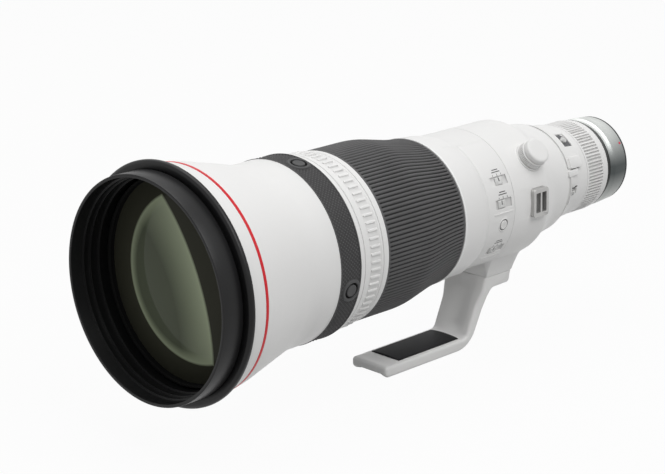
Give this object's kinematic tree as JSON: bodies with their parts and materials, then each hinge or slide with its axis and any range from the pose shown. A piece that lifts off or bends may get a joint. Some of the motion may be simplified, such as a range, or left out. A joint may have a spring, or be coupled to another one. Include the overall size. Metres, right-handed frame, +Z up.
{
  "type": "super telephoto lens",
  "caption": "Super telephoto lens: flared white barrel, rubber focus ring, preset and control rings, rotating tripod collar with foot and lock knob, drop-in filter and bayonet mount.",
  "frame": {"origin": "centre of the rear mounting face, on the optical axis", "axes": "+Y along the optical axis out of the bayonet, the front glass faces -Y, +Z up away from the foot, +X the side with the switches"},
  "size_m": [0.168, 0.4772, 0.199],
  "materials": {
    "front_tube_black": "satin",
    "coated_glass": "gloss",
    "inner_glass": "gloss",
    "white_paint": "satin",
    "red_paint": "gloss",
    "black_rubber": "matte",
    "button_rubber": "matte",
    "white_panel": "matte",
    "switch_caps": "matte",
    "inner_aluminium": "matte",
    "bearing_brass": "satin",
    "steel_parts": "satin",
    "latch_grey": "satin",
    "lug_grey": "satin",
    "sleeve_silver": "satin",
    "bayonet_chrome": "polished",
    "contact_black": "matte",
    "contact_gold": "polished"
  },
  "bodies": {
    "barrel": {"hood_tube": "front_tube_black", "flange_ring": "front_tube_black", "glass_retainer": "front_tube_black", "front_glass": "coated_glass", "second_element": "inner_glass", "rear_element": "inner_glass", "front_barrel": "white_paint", "mid_barrel": "white_paint", "rear_barrel": "white_paint", "rear_trim": "white_paint", "red_ring": "red_paint", "grip_band": "black_rubber", "mount_gasket": "black_rubber", "switch_panel": "white_panel", "rear_panel": "white_panel", "main_tube": "inner_aluminium", "journal_tube": "inner_aluminium", "second_cell": "inner_aluminium", "iris_housing": "inner_aluminium", "stabilizer_housing": "inner_aluminium", "rear_cell": "inner_aluminium", "guide_rods": "steel_parts", "mount_screws": "steel_parts", "iris_blades": "steel_parts", "mount_sleeve": "sleeve_silver", "bayonet": "bayonet_chrome", "contact_block": "contact_black", "contact_pins": "contact_gold"},
    "preset_ring": {"preset_ring": "white_paint"},
    "focus_ring": {"focus_sleeve": "inner_aluminium", "focus_rubber": "black_rubber"},
    "control_ring": {"control_ring": "white_paint"},
    "collar": {"tripod_collar": "white_paint", "collar_liner": "bearing_brass", "tripod_foot": "white_paint", "foot_stalk": "white_paint", "foot_block": "white_paint", "foot_pad": "black_rubber", "foot_screws": "steel_parts", "tripod_sockets": "bearing_brass", "strap_lug_left": "lug_grey", "strap_lug_right": "lug_grey"},
    "lock_knob": {"lock_knob": "white_paint"},
    "function_button_1": {"function_button_1": "button_rubber"},
    "function_button_2": {"function_button_2": "button_rubber"},
    "function_button_3": {"function_button_3": "button_rubber"},
    "function_button_4": {"function_button_4": "button_rubber"},
    "set_button": {"set_button": "button_rubber"},
    "mode_switch": {"mode_switch": "switch_caps"},
    "stabilizer_switch": {"stabilizer_switch": "switch_caps"},
    "recall_switch": {"recall_switch": "switch_caps"},
    "focus_mode_switch": {"focus_mode_switch": "switch_caps"},
    "filter_holder": {"filter_holder": "white_paint", "filter_glass": "inner_glass"},
    "filter_latch": {"filter_latch": "latch_grey"},
    "focus_drive_ring": {"focus_drive_ring": "steel_parts"},
    "focus_group": {"focus_cell": "inner_aluminium", "focus_element": "inner_glass"},
    "iris_ring": {"iris_ring": "steel_parts"},
    "stabilizer_carriage": {"stabilizer_carriage": "inner_aluminium"},
    "stabilizer_cell": {"stabilizer_cell": "inner_aluminium", "stabilizer_element": "inner_glass"}
  },
  "joints": [
    {"name": "preset_turn", "type": "hinge", "parent": "barrel", "child": "preset_ring", "pos_m": [0, -0.321, 0], "axis": [0, 1, 0], "range_deg": [-10, 10], "stiffness_Nm_per_rad": 0.5},
    {"name": "focus_turn", "type": "hinge", "parent": "barrel", "child": "focus_ring", "pos_m": [0, -0.262, 0], "axis": [0, 1, 0], "continuous": true},
    {"name": "control_turn", "type": "hinge", "parent": "barrel", "child": "control_ring", "pos_m": [0, -0.0415, 0], "axis": [0, 1, 0], "continuous": true},
    {"name": "collar_turn", "type": "hinge", "parent": "barrel", "child": "collar", "pos_m": [0, -0.142, 0], "axis": [0, 1, 0], "continuous": true},
    {"name": "lock_knob_turn", "type": "hinge", "parent": "collar", "child": "lock_knob", "pos_m": [0.0409, -0.1305, 0.03371], "axis": [0.7716, 0, 0.6361], "range_deg": [0, 300]},
    {"name": "function_button_1_press", "type": "slide", "parent": "barrel", "child": "function_button_1", "axis": [-0.9763, 0, 0.2164], "range_m": [0, 0.0008], "stiffness_N_per_m": 1000, "springref_m": -0.0005},
    {"name": "function_button_2_press", "type": "slide", "parent": "barrel", "child": "function_button_2", "axis": [-0.2164, 0, -0.9763], "range_m": [0, 0.0008], "stiffness_N_per_m": 1000, "springref_m": -0.0005},
    {"name": "function_button_3_press", "type": "slide", "parent": "barrel", "child": "function_button_3", "axis": [0.9763, 0, -0.2164], "range_m": [0, 0.0008], "stiffness_N_per_m": 1000, "springref_m": -0.0005},
    {"name": "function_button_4_press", "type": "slide", "parent": "barrel", "child": "function_button_4", "axis": [0.2164, 0, 0.9763], "range_m": [0, 0.0008], "stiffness_N_per_m": 1000, "springref_m": -0.0005},
    {"name": "set_button_press", "type": "slide", "parent": "barrel", "child": "set_button", "axis": [-0.9882, 0, 0.153], "range_m": [0, 0.0006], "stiffness_N_per_m": 1000, "springref_m": -0.0005},
    {"name": "mode_switch_slide", "type": "slide", "parent": "barrel", "child": "mode_switch", "axis": [0, 1, 0], "range_m": [-0.0044, 0.0044]},
    {"name": "stabilizer_switch_slide", "type": "slide", "parent": "barrel", "child": "stabilizer_switch", "axis": [0, 1, 0], "range_m": [0, 0.0044]},
    {"name": "recall_switch_slide", "type": "slide", "parent": "barrel", "child": "recall_switch", "axis": [0, 1, 0], "range_m": [0, 0.0044]},
    {"name": "focus_mode_switch_slide", "type": "slide", "parent": "barrel", "child": "focus_mode_switch", "axis": [-0.2566, 0.9659, 0.0338], "range_m": [0, 0.0042]},
    {"name": "filter_holder_lift", "type": "slide", "parent": "barrel", "child": "filter_holder", "axis": [0.4695, 0, 0.8829], "range_m": [0, 0.075]},
    {"name": "filter_latch_turn", "type": "hinge", "parent": "filter_holder", "child": "filter_latch", "pos_m": [0.02151, -0.0666, 0.03072], "axis": [0.5736, 0, 0.8192], "range_deg": [0, 90]},
    {"name": "focus_drive_turn", "type": "hinge", "parent": "barrel", "child": "focus_drive_ring", "pos_m": [0, -0.2115, 0], "axis": [0, 1, 0], "range_deg": [0, 100]},
    {"name": "focus_group_slide", "type": "slide", "parent": "barrel", "child": "focus_group", "axis": [0, 1, 0], "range_m": [0, 0.0301]},
    {"name": "iris_turn", "type": "hinge", "parent": "barrel", "child": "iris_ring", "pos_m": [0, -0.1888, 0], "axis": [0, 1, 0], "range_deg": [0, 50]},
    {"name": "stabilizer_shift_x", "type": "slide", "parent": "barrel", "child": "stabilizer_carriage", "axis": [1, 0, 0], "range_m": [-0.0015, 0.0015]},
    {"name": "stabilizer_shift_z", "type": "slide", "parent": "stabilizer_carriage", "child": "stabilizer_cell", "axis": [0, 0, 1], "range_m": [-0.0015, 0.0015]}
  ],
  "couplings": [
    {"joint": "focus_group_slide", "follows": "focus_drive_turn", "m_per_rad": 0.01719}
  ]
}
